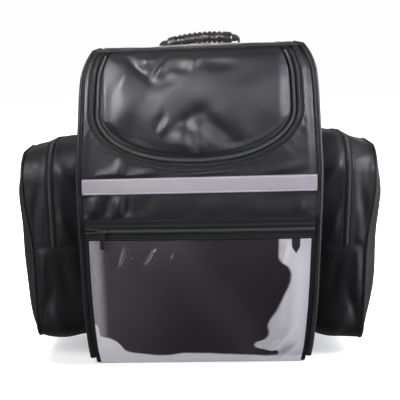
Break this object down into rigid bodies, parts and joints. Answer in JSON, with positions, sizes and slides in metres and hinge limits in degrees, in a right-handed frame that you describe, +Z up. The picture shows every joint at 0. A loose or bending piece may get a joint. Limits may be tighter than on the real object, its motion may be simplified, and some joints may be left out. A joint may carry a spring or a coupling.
{
  "type": "insulated delivery backpack",
  "caption": "Tall padded delivery backpack with a zipped D-shaped lid, clear front pocket, reflective strip, moulded grip and zipped side pockets.",
  "frame": {"origin": "middle of the flat base, on the surface that the backpack stands on", "axes": "+Z up, -Y out of the front with the lid and the clear pocket, +X to the viewer's right, across the backpack"},
  "size_m": [0.5958, 0.3183, 0.5278],
  "materials": {
    "nylon": "coated woven nylon, softly shiny",
    "webbing": "ribbed woven webbing",
    "binding": "woven tape over a cord",
    "zip_tape": "woven zip tape with a nylon coil",
    "zip_metal": "black lacquer, worn at the edges",
    "reflective": "silver reflective tape, satin",
    "clear_vinyl": "clear soft vinyl sheet, glossy and rippled",
    "moulded_plastic": "black moulded plastic, satin gloss"
  },
  "bodies": {
    "pack": {"front_panel": "nylon", "upper_front": "nylon", "top_panel": "nylon", "back_panel": "nylon", "bottom_panel": "nylon", "side_panel_left": "nylon", "side_panel_right": "nylon", "side_seam_left": "binding", "side_seam_right": "binding", "lid_flap": "nylon", "lid_zip": "zip_tape", "lid_slider": "zip_metal", "top_webbing": "webbing", "reflective_strip": "reflective", "pocket_zip": "zip_tape", "pocket_slider": "zip_metal", "clear_pocket": "clear_vinyl", "handle_base": "webbing", "handle_grip": "moulded_plastic", "handle_web_left": "webbing", "handle_web_right": "webbing", "left_gusset_inner": "nylon", "left_gusset_outer": "nylon", "left_gusset_lower": "nylon", "left_pocket_zip": "zip_tape", "left_pocket_slider": "zip_metal", "left_pocket_cord": "binding", "left_pocket_panel": "nylon", "right_gusset_inner": "nylon", "right_gusset_outer": "nylon", "right_gusset_lower": "nylon", "right_pocket_zip": "zip_tape", "right_pocket_slider": "zip_metal", "right_pocket_cord": "binding", "right_pocket_panel": "nylon", "shoulder_strap_left": "nylon", "shoulder_strap_right": "nylon", "strap_buckle_left": "moulded_plastic", "strap_buckle_right": "moulded_plastic", "strap_webbing_left": "webbing", "strap_webbing_right": "webbing"},
    "pull": {"pocket_pull": "zip_metal"}
  },
  "joints": [
    {"name": "pull_hinge", "type": "hinge", "parent": "pack", "child": "pull", "pos_m": [-0.154, -0.13411, 0.21692], "axis": [-1, 0, 0], "range_deg": [0, 170]}
  ]
}
